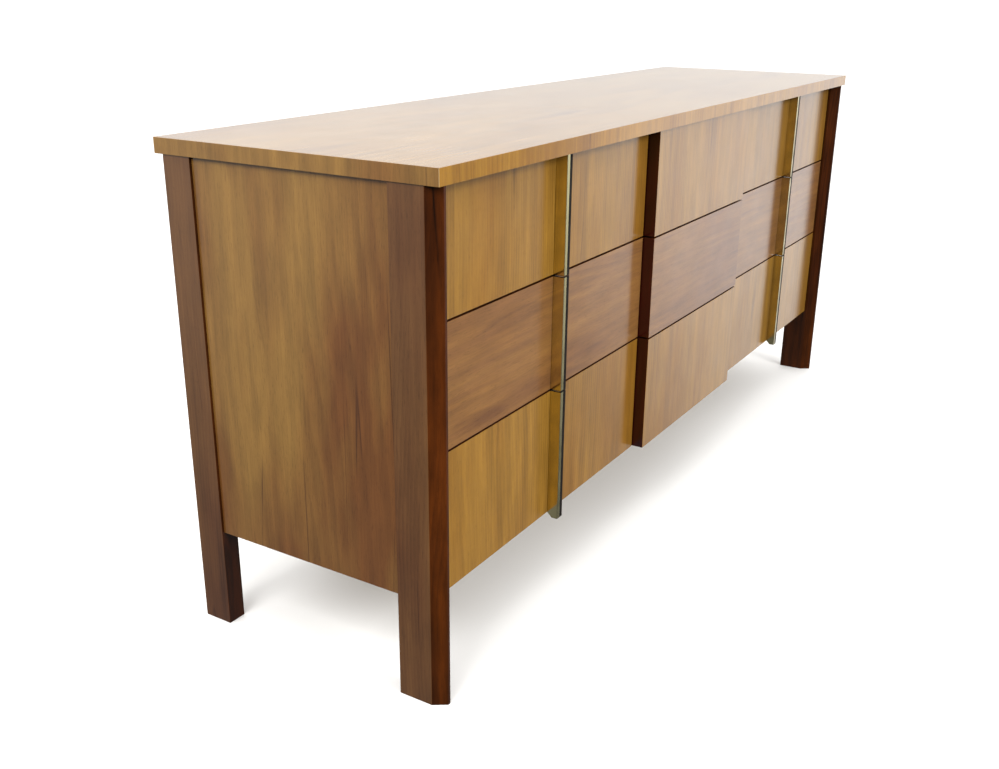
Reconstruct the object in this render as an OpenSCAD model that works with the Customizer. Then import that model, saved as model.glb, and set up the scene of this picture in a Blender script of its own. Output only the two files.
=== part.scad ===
// Low chest with nine drawers in three banks, on four plank legs.
// The origin is on the floor under the middle of the top. The fronts face -Y and up is +Z.

/* [Overall] */
// Width of the top, left to right
width = 1778; // [1400:1:2200]
// Depth of the top, front to back
depth = 488; // [400:1:620]
// Height from the floor to the upper face of the top
height = 770; // [640:1:950]

/* [Top] */
// Thickness of the top
top_t = 23; // [16:0.5:32]
// Thickness of the strip glued round the edge of the top
lipping_t = 3; // [1:0.5:8]
// Distance that the top runs past the legs at each end
end_overhang = 2; // [0:0.5:30]
// Distance that the top runs past the noses of the front legs
front_overhang = 4; // [0:0.5:30]
// Distance that the top runs past the rear legs
rear_overhang = 14; // [3:0.5:40]

/* [Legs] */
// Thickness of the leg planks, left to right
leg_t = 32; // [26:0.5:45]
// Depth of the front legs, nose included
front_leg_d = 76; // [62:0.5:110]
// Depth of the rear legs
rear_leg_d = 52; // [40:0.5:90]
// Length of the tapered nose on the front legs
nose_d = 20; // [8:0.5:26]
// Width of the flat at the tip of the nose
nose_flat = 5; // [2:0.5:12]

/* [Case] */
// Thickness of the end panels
panel_t = 19; // [14:0.5:25]
// Step from the outer face of a leg in to the end panel
panel_recess = 4; // [1:0.5:8]
// Thickness of the tongues that hold the end panels in the legs
tongue_t = 8; // [5:0.5:11]
// Length of those tongues
tongue_l = 8; // [4:0.5:12]
// Thickness of the two upright partitions
partition_t = 19; // [14:0.5:25]
// Thickness of the shelves between the rows of drawers
shelf_t = 19; // [12:0.5:24]
// Thickness of the bottom of the case
bottom_t = 12; // [9:0.5:18]
// Step from the lower edge of the fronts up to the bottom of the case
bottom_rise = 3; // [1:0.5:8]
// Thickness of the back panel
back_t = 6; // [4:0.5:10]
// Height of the rails that carry the top
rail_h = 20; // [14:0.5:30]
// Depth of those rails
rail_d = 60; // [40:1:90]

/* [Drawer fronts] */
// Height of the fronts in the top row
top_front_h = 181.5; // [150:0.5:220]
// Height of the fronts in the middle row
middle_front_h = 182; // [150:0.5:220]
// Height of the fronts in the bottom row
bottom_front_h = 212.5; // [175:0.5:258]
// Open line between neighbouring fronts
front_gap = 3; // [1.5:0.25:6]
// Open line between the top row and the top
head_gap = 2; // [1:0.25:5]
// Thickness of the fronts in the two outer banks
front_t = 20; // [16:0.5:26]
// Distance from the front edge of the top back to the outer fronts
front_setback = 29.5; // [26:0.5:45]
// Distance that the fronts of the middle bank stand out from the outer ones
centre_proud = 20.5; // [10:0.5:25]
// Width of the middle bank between the centres of the partitions
centre_w = 446; // [370:1:540]

/* [Drawer boxes] */
// Thickness of the sides and backs of the boxes
box_t = 12; // [9:0.5:16]
// Thickness of the plywood bottoms of the boxes
ply_t = 5; // [3:0.5:8]
// Height of the plywood above the lower edge of the sides
ply_rise = 9; // [7:0.5:14]
// Depth of the grooves that hold the plywood
groove_d = 5; // [3:0.5:7]
// Step from the top of the sides down to the top of the back
back_drop = 8; // [0:0.5:20]
// Width of the guide under the middle of each box
guide_w = 22; // [14:0.5:32]
// Height of that guide
guide_h = 7; // [4:0.5:7]
// Width of the two strips on the box that straddle the guide
cheek_w = 12; // [8:0.5:20]

/* [Pulls] */
// Thickness of the metal
pull_t = 2; // [1:0.25:3]
// Distance that the pulls stand out from the fronts
pull_d = 18.5; // [14:0.5:22]
// Width of the lip along the outer edge of a pull
lip_w = 16; // [10:0.5:24]
// Depth of the slot in the front that holds a pull
slot_d = 8; // [4:0.5:12]
// Length of the bottom pulls below their fronts
tail_h = 8; // [4:0.5:12]

/* [Screws] */
// Diameter of the heads of the screws in the back panel
screw_head_d = 8; // [5:0.5:11]
// Height of those heads
screw_head_h = 2; // [1:0.25:2.5]
// Diameter of the shanks
screw_shank_d = 3.5; // [2.5:0.25:4.5]
// Length of the shanks
screw_l = 16; // [10:1:20]

/* [Clearances] */
// Space all round a tongue, a plywood edge or a pull in its slot
fit = 0.1; // [0.05:0.05:0.3]
// Space at the closed end of a groove or slot
groove_end = 0.5; // [0.25:0.25:1]
// Space between a box and the wood on either side of it
side_clear = 3; // [1.5:0.5:6]
// Space between a box and the shelf that it runs on
run_clear = 0.5; // [0.3:0.1:1]
// Space between a guide and the parts of the box around it
guide_clear = 1; // [0.5:0.25:2]
// Space above the sides of a box
head_clear = 12; // [6:0.5:20]
// Space between a box and the back panel
rear_clear = 10; // [5:0.5:20]
// Space between the fronts and the edges of the case behind them
stop_clear = 1; // [0.5:0.25:2]

/* [Hidden] */
$fn = 32;
// Overrun of a cutting solid past the face that it cuts
cut = 1;

// Banks count from the left and rows count from the top.
LEFT = 0;
CENTRE = 1;
RIGHT = 2;
TOP = 0;
MIDDLE = 1;
BOTTOM = 2;
BANKS = [LEFT, CENTRE, RIGHT];
ROWS = [TOP, MIDDLE, BOTTOM];
SIDES = [-1, 1];

top_under = height - top_t;
front_y = -depth / 2;
leg_out_x = width / 2 - end_overhang;
leg_in_x = leg_out_x - leg_t;
front_leg_y = front_y + front_overhang;
rear_leg_back_y = depth / 2 - rear_overhang;
rear_leg_y = rear_leg_back_y - rear_leg_d;

front_heights = [top_front_h, middle_front_h, bottom_front_h];
// Upper and lower edges of the fronts of a row
function front_top(row) = row == TOP ? top_under - head_gap : front_low(row - 1) - front_gap;
function front_low(row) = front_top(row) - front_heights[row];
case_low = front_low(BOTTOM);

panel_out_x = leg_out_x - panel_recess;
panel_in_x = panel_out_x - panel_t;
panel_y0 = front_leg_y + front_leg_d;
panel_y1 = rear_leg_y;

outer_face_y = front_y + front_setback;
centre_face_y = outer_face_y - centre_proud;
front_back_y = outer_face_y + front_t;
case_front_y = front_back_y + stop_clear;
back_y = rear_leg_back_y - back_t;
rail_low = top_under - rail_h;
bottom_low = case_low + bottom_rise;
bottom_top = bottom_low + bottom_t;

// Middle of the shelf under a row, and the clear height that a row has
function shelf_mid(row) = front_low(row) - front_gap / 2;
function bay_low(row) = row == BOTTOM ? bottom_top : shelf_mid(row) + shelf_t / 2;
function bay_high(row) = row == TOP ? rail_low : shelf_mid(row - 1) - shelf_t / 2;

// Left and right ends of a bank: its fronts, its shelves and its clear width
function bank_start(bank) = bank == LEFT ? -leg_in_x : (bank == CENTRE ? -centre_w / 2 : centre_w / 2);
function bank_end(bank) = -bank_start(RIGHT - bank);
function front_x0(bank) = bank_start(bank) + front_gap / 2;
function front_x1(bank) = bank_end(bank) - front_gap / 2;
function shelf_x0(bank) = bank == LEFT ? -panel_in_x : bank_start(bank) + partition_t / 2;
function shelf_x1(bank) = -shelf_x0(RIGHT - bank);
function bay_x0(bank) = bank == LEFT ? -leg_in_x : shelf_x0(bank);
function bay_x1(bank) = -bay_x0(RIGHT - bank);

// Outside of a drawer box
function box_x0(bank) = bay_x0(bank) + side_clear;
function box_x1(bank) = bay_x1(bank) - side_clear;
function box_mid(bank) = (box_x0(bank) + box_x1(bank)) / 2;
function box_low(row) = bay_low(row) + run_clear;
function box_high(row) = bay_high(row) - head_clear;
function ply_low(row) = box_low(row) + ply_rise;
box_back_y = back_y - rear_clear;
function face_y(bank) = bank == CENTRE ? centre_face_y : outer_face_y;
// Left face of a pull: its plate stands half a lip outside the middle of the bank
function pull_x(bank) = (front_x0(bank) + front_x1(bank)) / 2
    + (bank == RIGHT ? lip_w / 2 - pull_t : -lip_w / 2);
function tail(row) = row == BOTTOM ? tail_h : 0;

screw_rows = 4;
screw_edge = 30;
screw_step = (top_under - case_low - 2 * screw_edge) / (screw_rows - 1);

walnut = "#8a5f38";
walnut_top = "#a98a68";
walnut_dark = "#4a2c1c";
walnut_side = "#80603c";
drawer_wood = "#c9a777";
plywood = "#b08a58";
brass = "#c8a766";
steel = "#8f9092";

// Box between two corners
module block(low, high) {
    translate(low) cube(high - low);
}

module top_panel() {
    inset = [lipping_t, lipping_t, 0];
    low = [-width / 2, -depth / 2, top_under];
    high = [width / 2, depth / 2, height];
    color(walnut_top) block(low + inset, high - inset);
}

// Four strips with mitred corners
module top_lipping() {
    x = width / 2;
    y = depth / 2;
    color(walnut) translate([0, 0, top_under]) linear_extrude(top_t) {
        for (s = SIDES) {
            polygon([
                [-x, s * y], [x, s * y],
                [x - lipping_t, s * (y - lipping_t)], [lipping_t - x, s * (y - lipping_t)]
            ]);
        }
    }
    color(walnut) translate([0, 0, top_under]) linear_extrude(top_t) {
        for (s = SIDES) {
            polygon([
                [s * x, -y], [s * x, y],
                [s * (x - lipping_t), y - lipping_t], [s * (x - lipping_t), lipping_t - y]
            ]);
        }
    }
}

// Slot for the tongue of an end panel, from y0 to y1 on the right-hand end
module tongue_slot(y0, y1) {
    x1 = panel_out_x - (panel_t - tongue_t) / 2;
    block([x1 - tongue_t - fit, y0, case_low - fit], [x1 + fit, y1, top_under + cut]);
}

// Right-hand legs; the left-hand ones are their mirror images
module leg_front() {
    slope = (leg_t - nose_flat) / 2;
    y = front_leg_y;
    color(walnut_dark) difference() {
        linear_extrude(top_under) polygon([
            [leg_in_x, y + front_leg_d], [leg_in_x, y + nose_d],
            [leg_in_x + slope, y], [leg_out_x - slope, y],
            [leg_out_x, y + nose_d], [leg_out_x, y + front_leg_d]
        ]);
        tongue_slot(panel_y0 - tongue_l - groove_end, panel_y0 + cut);
    }
}

module leg_rear() {
    color(walnut_dark) difference() {
        block([leg_in_x, rear_leg_y, 0], [leg_out_x, rear_leg_back_y, top_under]);
        tongue_slot(panel_y1 - cut, panel_y1 + tongue_l + groove_end);
    }
}

// Right-hand end panel with a tongue along its front and rear edges
module side_panel() {
    x1 = panel_out_x - (panel_t - tongue_t) / 2;
    color(walnut_side) union() {
        block([panel_in_x, panel_y0, case_low], [panel_out_x, panel_y1, top_under]);
        block([x1 - tongue_t, panel_y0 - tongue_l, case_low], [x1, panel_y1 + tongue_l, top_under]);
    }
}

module on_left() {
    mirror([1, 0, 0]) children();
}

// The rails run through notches at the top of each partition, and its rear edge takes the screws
module partition(bank) {
    x0 = bank_start(bank) - partition_t / 2;
    color(drawer_wood) difference() {
        block([x0, case_front_y, bottom_top], [x0 + partition_t, back_y, top_under]);
        block([x0 - cut, case_front_y - cut, rail_low],
              [x0 + partition_t + cut, case_front_y + rail_d, top_under + cut]);
        block([x0 - cut, back_y - rail_d, rail_low],
              [x0 + partition_t + cut, back_y + cut, top_under + cut]);
        screw_grid() screw_hole();
    }
}

// The space that the legs take up at the four corners of the case
module leg_corners() {
    for (s = SIDES) {
        x0 = min(s * leg_in_x, s * (leg_in_x + leg_t));
        block([x0, front_leg_y, -cut], [x0 + leg_t, panel_y0, height]);
        block([x0, rear_leg_y, -cut], [x0 + leg_t, rear_leg_back_y, height]);
    }
}

// Board across the case, notched round the legs
module case_board(x0, x1, y0, y1, z, t) {
    difference() {
        block([x0, y0, z], [x1, y1, z + t]);
        leg_corners();
    }
}

module bottom_panel() {
    color(drawer_wood)
        case_board(-panel_in_x, panel_in_x, case_front_y, back_y, bottom_low, bottom_t);
}

module top_rails() {
    color(drawer_wood) {
        case_board(-panel_in_x, panel_in_x, case_front_y, case_front_y + rail_d, rail_low, rail_h);
        case_board(-panel_in_x, panel_in_x, back_y - rail_d, back_y, rail_low, rail_h);
    }
}

// Two shelves, under the top row and under the middle row
module shelves(bank) {
    color(drawer_wood) for (row = [TOP, MIDDLE]) {
        case_board(shelf_x0(bank), shelf_x1(bank), case_front_y, back_y,
                   shelf_mid(row) - shelf_t / 2, shelf_t);
    }
}

module back_panel() {
    color(plywood) difference() {
        block([-leg_in_x, back_y, case_low], [leg_in_x, rear_leg_back_y, top_under]);
        screw_grid() screw_hole();
    }
}

// Places of the screws: one column along the rear edge of each partition
module screw_grid() {
    for (s = SIDES) {
        for (i = [0:screw_rows - 1]) {
            translate([s * centre_w / 2, 0, case_low + screw_edge + i * screw_step]) children();
        }
    }
}

module screw_hole() {
    translate([0, rear_leg_back_y + cut, 0]) rotate([90, 0, 0])
        cylinder(d = screw_shank_d + 2 * fit, h = screw_l + 2 * cut);
}

module back_screw() {
    recess_d = screw_head_d * 0.45;
    recess_h = screw_head_h * 0.7;
    color(steel) translate([0, rear_leg_back_y, 0]) {
        rotate([90, 0, 0]) cylinder(d = screw_shank_d, h = screw_l);
        rotate([-90, 0, 0]) difference() {
            cylinder(d = screw_head_d, h = screw_head_h);
            translate([0, 0, screw_head_h - recess_h]) cylinder(d = recess_d, h = recess_h + cut);
        }
    }
}

module back_screws() {
    screw_grid() back_screw();
}

// One guide on the shelf or case bottom under each box
module drawer_guides() {
    color(drawer_wood) for (bank = BANKS) {
        for (row = ROWS) {
            block([box_mid(bank) - guide_w / 2, case_front_y, bay_low(row)],
                  [box_mid(bank) + guide_w / 2, back_y, bay_low(row) + guide_h]);
        }
    }
}

// The front has a groove for the plywood and, in the outer banks, a slot for the pull
module drawer_front(bank, row) {
    z0 = front_low(row);
    z1 = front_top(row);
    color(row == MIDDLE ? "#80583a" : walnut) difference() {
        block([front_x0(bank), face_y(bank), z0], [front_x1(bank), front_back_y, z1]);
        block([box_x0(bank) + box_t - groove_d, front_back_y - groove_d, ply_low(row) - fit],
              [box_x1(bank) - box_t + groove_d, front_back_y + cut, ply_low(row) + ply_t + fit]);
        if (bank != CENTRE) {
            block([pull_x(bank) - fit, outer_face_y - cut, z0 - cut],
                  [pull_x(bank) + pull_t + fit, outer_face_y + slot_d, z1 + cut]);
        }
    }
}

// Two sides, each with a groove for the plywood
module drawer_sides(bank, row) {
    color(drawer_wood) for (s = SIDES) {
        x0 = s < 0 ? box_x0(bank) : box_x1(bank) - box_t;
        inner_x = s < 0 ? box_x0(bank) + box_t : box_x1(bank) - box_t;
        difference() {
            block([x0, front_back_y, box_low(row)], [x0 + box_t, box_back_y, box_high(row)]);
            block([inner_x - groove_d, front_back_y - cut, ply_low(row) - fit],
                  [inner_x + groove_d, box_back_y + cut, ply_low(row) + ply_t + fit]);
        }
    }
}

// The back stands on the plywood between the sides
module drawer_back(bank, row) {
    color(drawer_wood)
        block([box_x0(bank) + box_t, box_back_y - box_t, ply_low(row) + ply_t],
              [box_x1(bank) - box_t, box_back_y, box_high(row) - back_drop]);
}

// Plywood with the two strips that straddle the guide
module drawer_bottom(bank, row) {
    reach = groove_d - groove_end;
    x0 = box_x0(bank) + box_t - reach;
    x1 = box_x1(bank) - box_t + reach;
    inner = guide_w / 2 + guide_clear;
    color(plywood) union() {
        block([x0, front_back_y - reach, ply_low(row)], [x1, box_back_y, ply_low(row) + ply_t]);
        for (s = SIDES) {
            mid = box_mid(bank) + s * (inner + cheek_w / 2);
            block([mid - cheek_w / 2, front_back_y, box_low(row)],
                  [mid + cheek_w / 2, box_back_y, ply_low(row) + fit]);
        }
    }
}

// Angle section: a plate held in the slot, with a lip that returns to the right at its outer edge.
// The tail of a bottom pull is cut away at 45 degrees behind the front's face.
module pull(bank, row) {
    x = pull_x(bank);
    y0 = outer_face_y - pull_d;
    y1 = outer_face_y + slot_d - groove_end;
    z0 = front_low(row);
    z1 = front_top(row);
    drop = tail(row);
    color(brass) union() {
        translate([x, 0, 0]) multmatrix([[0, 0, 1, 0], [1, 0, 0, 0], [0, 1, 0, 0], [0, 0, 0, 1]])
            linear_extrude(pull_t) polygon(concat(
                [[y1, z0], [y1, z1], [y0, z1], [y0, z0 - drop]],
                drop > 0 ? [[outer_face_y - drop, z0 - drop], [outer_face_y, z0]] : []
            ));
        block([x, y0, z0 - drop], [x + lip_w, y0 + pull_t, z1]);
    }
}

top_panel();
top_lipping();
on_left() leg_front();  // leg_front_left
leg_front();  // leg_front_right
on_left() leg_rear();  // leg_rear_left
leg_rear();  // leg_rear_right
on_left() side_panel();  // side_panel_left
side_panel();  // side_panel_right
partition(CENTRE);  // partition_left
partition(RIGHT);  // partition_right
bottom_panel();
back_panel();
top_rails();
shelves(LEFT);  // shelves_left
shelves(CENTRE);  // shelves_centre
shelves(RIGHT);  // shelves_right
drawer_guides();
back_screws();
drawer_front(LEFT, TOP);  // left_top_front
drawer_sides(LEFT, TOP);  // left_top_sides
drawer_back(LEFT, TOP);  // left_top_back
drawer_bottom(LEFT, TOP);  // left_top_bottom
pull(LEFT, TOP);  // left_top_pull
drawer_front(LEFT, MIDDLE);  // left_middle_front
drawer_sides(LEFT, MIDDLE);  // left_middle_sides
drawer_back(LEFT, MIDDLE);  // left_middle_back
drawer_bottom(LEFT, MIDDLE);  // left_middle_bottom
pull(LEFT, MIDDLE);  // left_middle_pull
drawer_front(LEFT, BOTTOM);  // left_bottom_front
drawer_sides(LEFT, BOTTOM);  // left_bottom_sides
drawer_back(LEFT, BOTTOM);  // left_bottom_back
drawer_bottom(LEFT, BOTTOM);  // left_bottom_bottom
pull(LEFT, BOTTOM);  // left_bottom_pull
drawer_front(CENTRE, TOP);  // centre_top_front
drawer_sides(CENTRE, TOP);  // centre_top_sides
drawer_back(CENTRE, TOP);  // centre_top_back
drawer_bottom(CENTRE, TOP);  // centre_top_bottom
drawer_front(CENTRE, MIDDLE);  // centre_middle_front
drawer_sides(CENTRE, MIDDLE);  // centre_middle_sides
drawer_back(CENTRE, MIDDLE);  // centre_middle_back
drawer_bottom(CENTRE, MIDDLE);  // centre_middle_bottom
drawer_front(CENTRE, BOTTOM);  // centre_bottom_front
drawer_sides(CENTRE, BOTTOM);  // centre_bottom_sides
drawer_back(CENTRE, BOTTOM);  // centre_bottom_back
drawer_bottom(CENTRE, BOTTOM);  // centre_bottom_bottom
drawer_front(RIGHT, TOP);  // right_top_front
drawer_sides(RIGHT, TOP);  // right_top_sides
drawer_back(RIGHT, TOP);  // right_top_back
drawer_bottom(RIGHT, TOP);  // right_top_bottom
pull(RIGHT, TOP);  // right_top_pull
drawer_front(RIGHT, MIDDLE);  // right_middle_front
drawer_sides(RIGHT, MIDDLE);  // right_middle_sides
drawer_back(RIGHT, MIDDLE);  // right_middle_back
drawer_bottom(RIGHT, MIDDLE);  // right_middle_bottom
pull(RIGHT, MIDDLE);  // right_middle_pull
drawer_front(RIGHT, BOTTOM);  // right_bottom_front
drawer_sides(RIGHT, BOTTOM);  // right_bottom_sides
drawer_back(RIGHT, BOTTOM);  // right_bottom_back
drawer_bottom(RIGHT, BOTTOM);  // right_bottom_bottom
pull(RIGHT, BOTTOM);  // right_bottom_pull
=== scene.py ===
"""Walnut chest with nine drawers: the looks of its pieces, its stage and its camera."""

import math
from contextlib import contextmanager

import bpy
from mathutils import Matrix, Vector


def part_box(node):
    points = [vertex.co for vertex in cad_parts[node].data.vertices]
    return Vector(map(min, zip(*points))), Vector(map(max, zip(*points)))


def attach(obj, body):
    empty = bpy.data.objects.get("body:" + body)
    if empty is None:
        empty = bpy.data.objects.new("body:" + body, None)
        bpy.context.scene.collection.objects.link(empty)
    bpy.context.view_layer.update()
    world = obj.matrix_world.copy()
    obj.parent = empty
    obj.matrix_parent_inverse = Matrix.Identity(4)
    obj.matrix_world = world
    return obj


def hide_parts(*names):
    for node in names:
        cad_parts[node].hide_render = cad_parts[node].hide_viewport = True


bl_info = {
    "name": "Walnut Chest",
    "version": (1, 0, 0),
    "blender": (4, 5, 0),
    "location": "View3D > Sidebar > Walnut Chest",
    "description": "Builds a walnut chest with nine drawers round its frame",
    "category": "Object",
}

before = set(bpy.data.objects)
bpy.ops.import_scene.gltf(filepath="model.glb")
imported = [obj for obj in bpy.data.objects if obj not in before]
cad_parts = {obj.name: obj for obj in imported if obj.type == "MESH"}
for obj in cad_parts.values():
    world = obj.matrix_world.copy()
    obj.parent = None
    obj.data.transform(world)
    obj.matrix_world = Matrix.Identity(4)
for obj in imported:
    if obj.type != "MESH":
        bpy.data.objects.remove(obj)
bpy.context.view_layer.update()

MM = 0.001
X, Y, Z = 0, 1, 2
BANKS = ("left", "centre", "right")
OUTER_BANKS = ("left", "right")
ROWS = ("top", "middle", "bottom")
ENDS = ("left", "right")
CASE = "case"
WHITE = (1.0, 1.0, 1.0, 1.0)


def linear(code):
    """Linear RGBA from an sRGB hex value such as '#80603c'."""
    shares = [int(code[i:i + 2], 16) / 255 for i in (1, 3, 5)]
    return (*(share / 12.92 if share <= 0.04045 else ((share + 0.055) / 1.055) ** 2.4
              for share in shares), 1.0)


def darkened(tint, share):
    """The tint with that share of its light."""
    return (*(part * share for part in tint[:3]), 1.0)


# ---------------------------------------------------------------- settings


def length(name, default, text):
    return bpy.props.FloatProperty(name=name, description=text, default=default, min=0.0,
                                   unit="LENGTH", precision=5)


def colour(name, code, text):
    return bpy.props.FloatVectorProperty(name=name, description=text, default=linear(code),
                                         size=4, min=0.0, max=1.0, subtype="COLOR")


class ChestSizes(bpy.types.PropertyGroup):
    """Sizes of the small shapes that the frame leaves plain."""

    front_edge: length("Front edge", 0.7 * MM, "Radius of the eased edges of the drawer fronts")
    top_edge: length("Top edge", 0.48 * MM, "Radius of the eased edges of the top")
    top_seam: length("Top seam", 0.1 * MM, "Width of the fine seam between the top and its strips")
    leg_edge: length("Leg edge", 1.4 * MM, "Radius of the eased edges of the legs")
    panel_edge: length("Panel edge", 0.5 * MM, "Radius of the eased edges of the end panels")
    pull_edge: length("Pull edge", 0.35 * MM, "Radius of the edges of the metal pulls")
    nose: length("Nose length", 20 * MM, "Length of the tapered nose of the front legs")
    nose_flat: length("Nose flat", 5 * MM, "Width of the flat at the tip of the nose")
    pull_metal: length("Pull metal", 2 * MM, "Thickness of the metal of the pulls")
    pull_reach: length("Pull reach", 1 * MM, "How far a pull runs past its front to the next")
    slot: length("Pull slot", 8 * MM, "Depth of the slot in a front that holds its pull")
    # The next two sizes mark where a pull is painted near black: a painted dark reflection on the
    # outer lip, painted shade at the ends
    dark_lip: length("Dark lip", 8 * MM, "Width of the blackened part of the lip of a pull")
    shaded_end: length("Burnt end", 1.2 * MM, "Length of the blackened ends where two pulls meet")
    tail: length("Pull tail", 8 * MM, "Length of the bottom pulls below their fronts")
    box_wood: length("Box wood", 12 * MM, "Thickness of the sides of the drawer boxes")
    ply: length("Plywood", 5 * MM, "Thickness of the bottoms of the drawers")
    ply_rise: length("Plywood rise", 8.9 * MM, "Height of a drawer's bottom in its box")
    groove: length("Groove", 5.5 * MM, "Depth of the grooves that hold the bottoms")
    tongue: length("Tongue", 8 * MM, "Length and thickness of the tongues of the end panels")
    lipping: length("Lipping", 3 * MM, "Thickness of the strip round the edge of the top")
    screw_head: length("Screw head", 4 * MM, "Radius of the heads of the screws")
    cross_slot: length("Screw slot", 1.1 * MM, "Width of the cross in the heads of the screws")


class ChestColours(bpy.types.PropertyGroup):
    """Colours of the woods and the metals."""

    walnut: colour("Walnut", "#a97b2e", "Walnut veneer between its dark lines")
    walnut_line: colour("Walnut line", "#7a5520", "Dark lines in the walnut veneer")
    walnut_tint: colour("Walnut tint", "#e4d6bc", "What darkens the patches in the veneer")
    top: colour("Top walnut", "#967239", "Walnut veneer of the top")
    top_line: colour("Top line", "#6b471a", "Dark lines in the top")
    lipping: colour("Lipping", "#ad7c26", "Short-grained strip along the front of the top")
    lipping_line: colour("Lipping line", "#815619", "Dark lines in that strip")
    cross: colour("Crossways walnut", "#986b38", "Veneer of the middle row")
    cross_line: colour("Crossways line", "#785032", "Dark lines in the veneer of the middle row")
    cross_tint: colour("Crossways tint", "#d8c8cc", "What greys the patches in the middle row")
    end: colour("End veneer", "#9a7236", "Veneer of the end panels")
    end_line: colour("End line", "#6c4c24", "Dark lines in the end panels")
    end_tint: colour("End tint", "#c6a8a8", "What reddens the patches in the end panels")
    leg: colour("Leg walnut", "#724c28", "Stained solid walnut of the legs")
    leg_line: colour("Leg line", "#43240f", "Dark lines in the legs")
    # Painted shade: near black for the shaded faces of the legs and the edges of the fronts
    nose: colour("Nose", "#532708", "Dark stained noses of the front legs")
    nose_line: colour("Nose line", "#180a04", "Dark lines in the noses")
    # Painted shade: dark red in place of the shade on the side edges of the middle fronts
    stain: colour("Dark stain", "#3e0a05", "Stained edges of the middle fronts")
    stain_line: colour("Dark stain line", "#200302", "Dark lines in the stained edges")
    poplar: colour("Poplar", "#c8ab7c", "Pale wood of the drawer boxes and the inside of the case")
    poplar_line: colour("Poplar line", "#a88a58", "Dark lines in the pale wood")
    ply: colour("Plywood", "#b8955f", "Birch plywood of the back")
    ply_line: colour("Plywood line", "#94703f", "Dark lines in the plywood")
    brass: colour("Brass", "#e8dfac", "Aged polished brass")
    # Painted reflection: a duller brass on the lips of the right pulls, for the paler reflection
    # they show
    right_lip_reflection: colour("Dulled brass", "#b6aa8c", "Tarnished brass on the lips of the right pulls")
    # Painted shade: near black for the shade where two pulls meet and for a dark reflection on the
    # outer lips
    brass_shade: colour("Patina", "#1c1712", "Blackened brass on the outer part of the lips")
    steel: colour("Steel", "#9a9b9d", "Zinc-plated steel")
    floor: colour("Floor", "#f6f5f3", "Pale studio floor")


# ---------------------------------------------------------------- materials


def add(tree, kind, *values, sockets=None, **settings):
    """Adds a node. Values fill its inputs in order, or by name or number in sockets."""
    made = tree.nodes.new(kind)
    for key, value in settings.items():
        setattr(made, key, value)
    given = {i: v for i, v in enumerate(values) if v is not None}
    given.update(sockets or {})
    for key, value in given.items():
        if isinstance(value, bpy.types.Node):
            value = value.outputs[0]
        if isinstance(value, bpy.types.NodeSocket):
            tree.links.new(value, made.inputs[key])
        else:
            made.inputs[key].default_value = value
    return made


def new_material(name):
    """Empty material with a Principled shader on its output."""
    material = bpy.data.materials.new(name)
    material.use_nodes = True
    tree = material.node_tree
    tree.nodes.clear()
    shader = add(tree, "ShaderNodeBsdfPrincipled")
    add(tree, "ShaderNodeOutputMaterial", shader)
    return material, tree, shader


def grain_frame(tree, along, across):
    """Coordinates in metres that run across the grain, into the wood and along the grain."""
    place = add(tree, "ShaderNodeTexCoord").outputs["Object"]
    leaf = add(tree, "ShaderNodeAttribute", attribute_name="leaf").outputs["Vector"]
    moved = add(tree, "ShaderNodeVectorMath", place, leaf, operation="ADD")
    axes = add(tree, "ShaderNodeSeparateXYZ", moved).outputs
    depth = X + Y + Z - along - across
    return add(tree, "ShaderNodeCombineXYZ", axes[across], axes[depth], axes[along])


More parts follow.
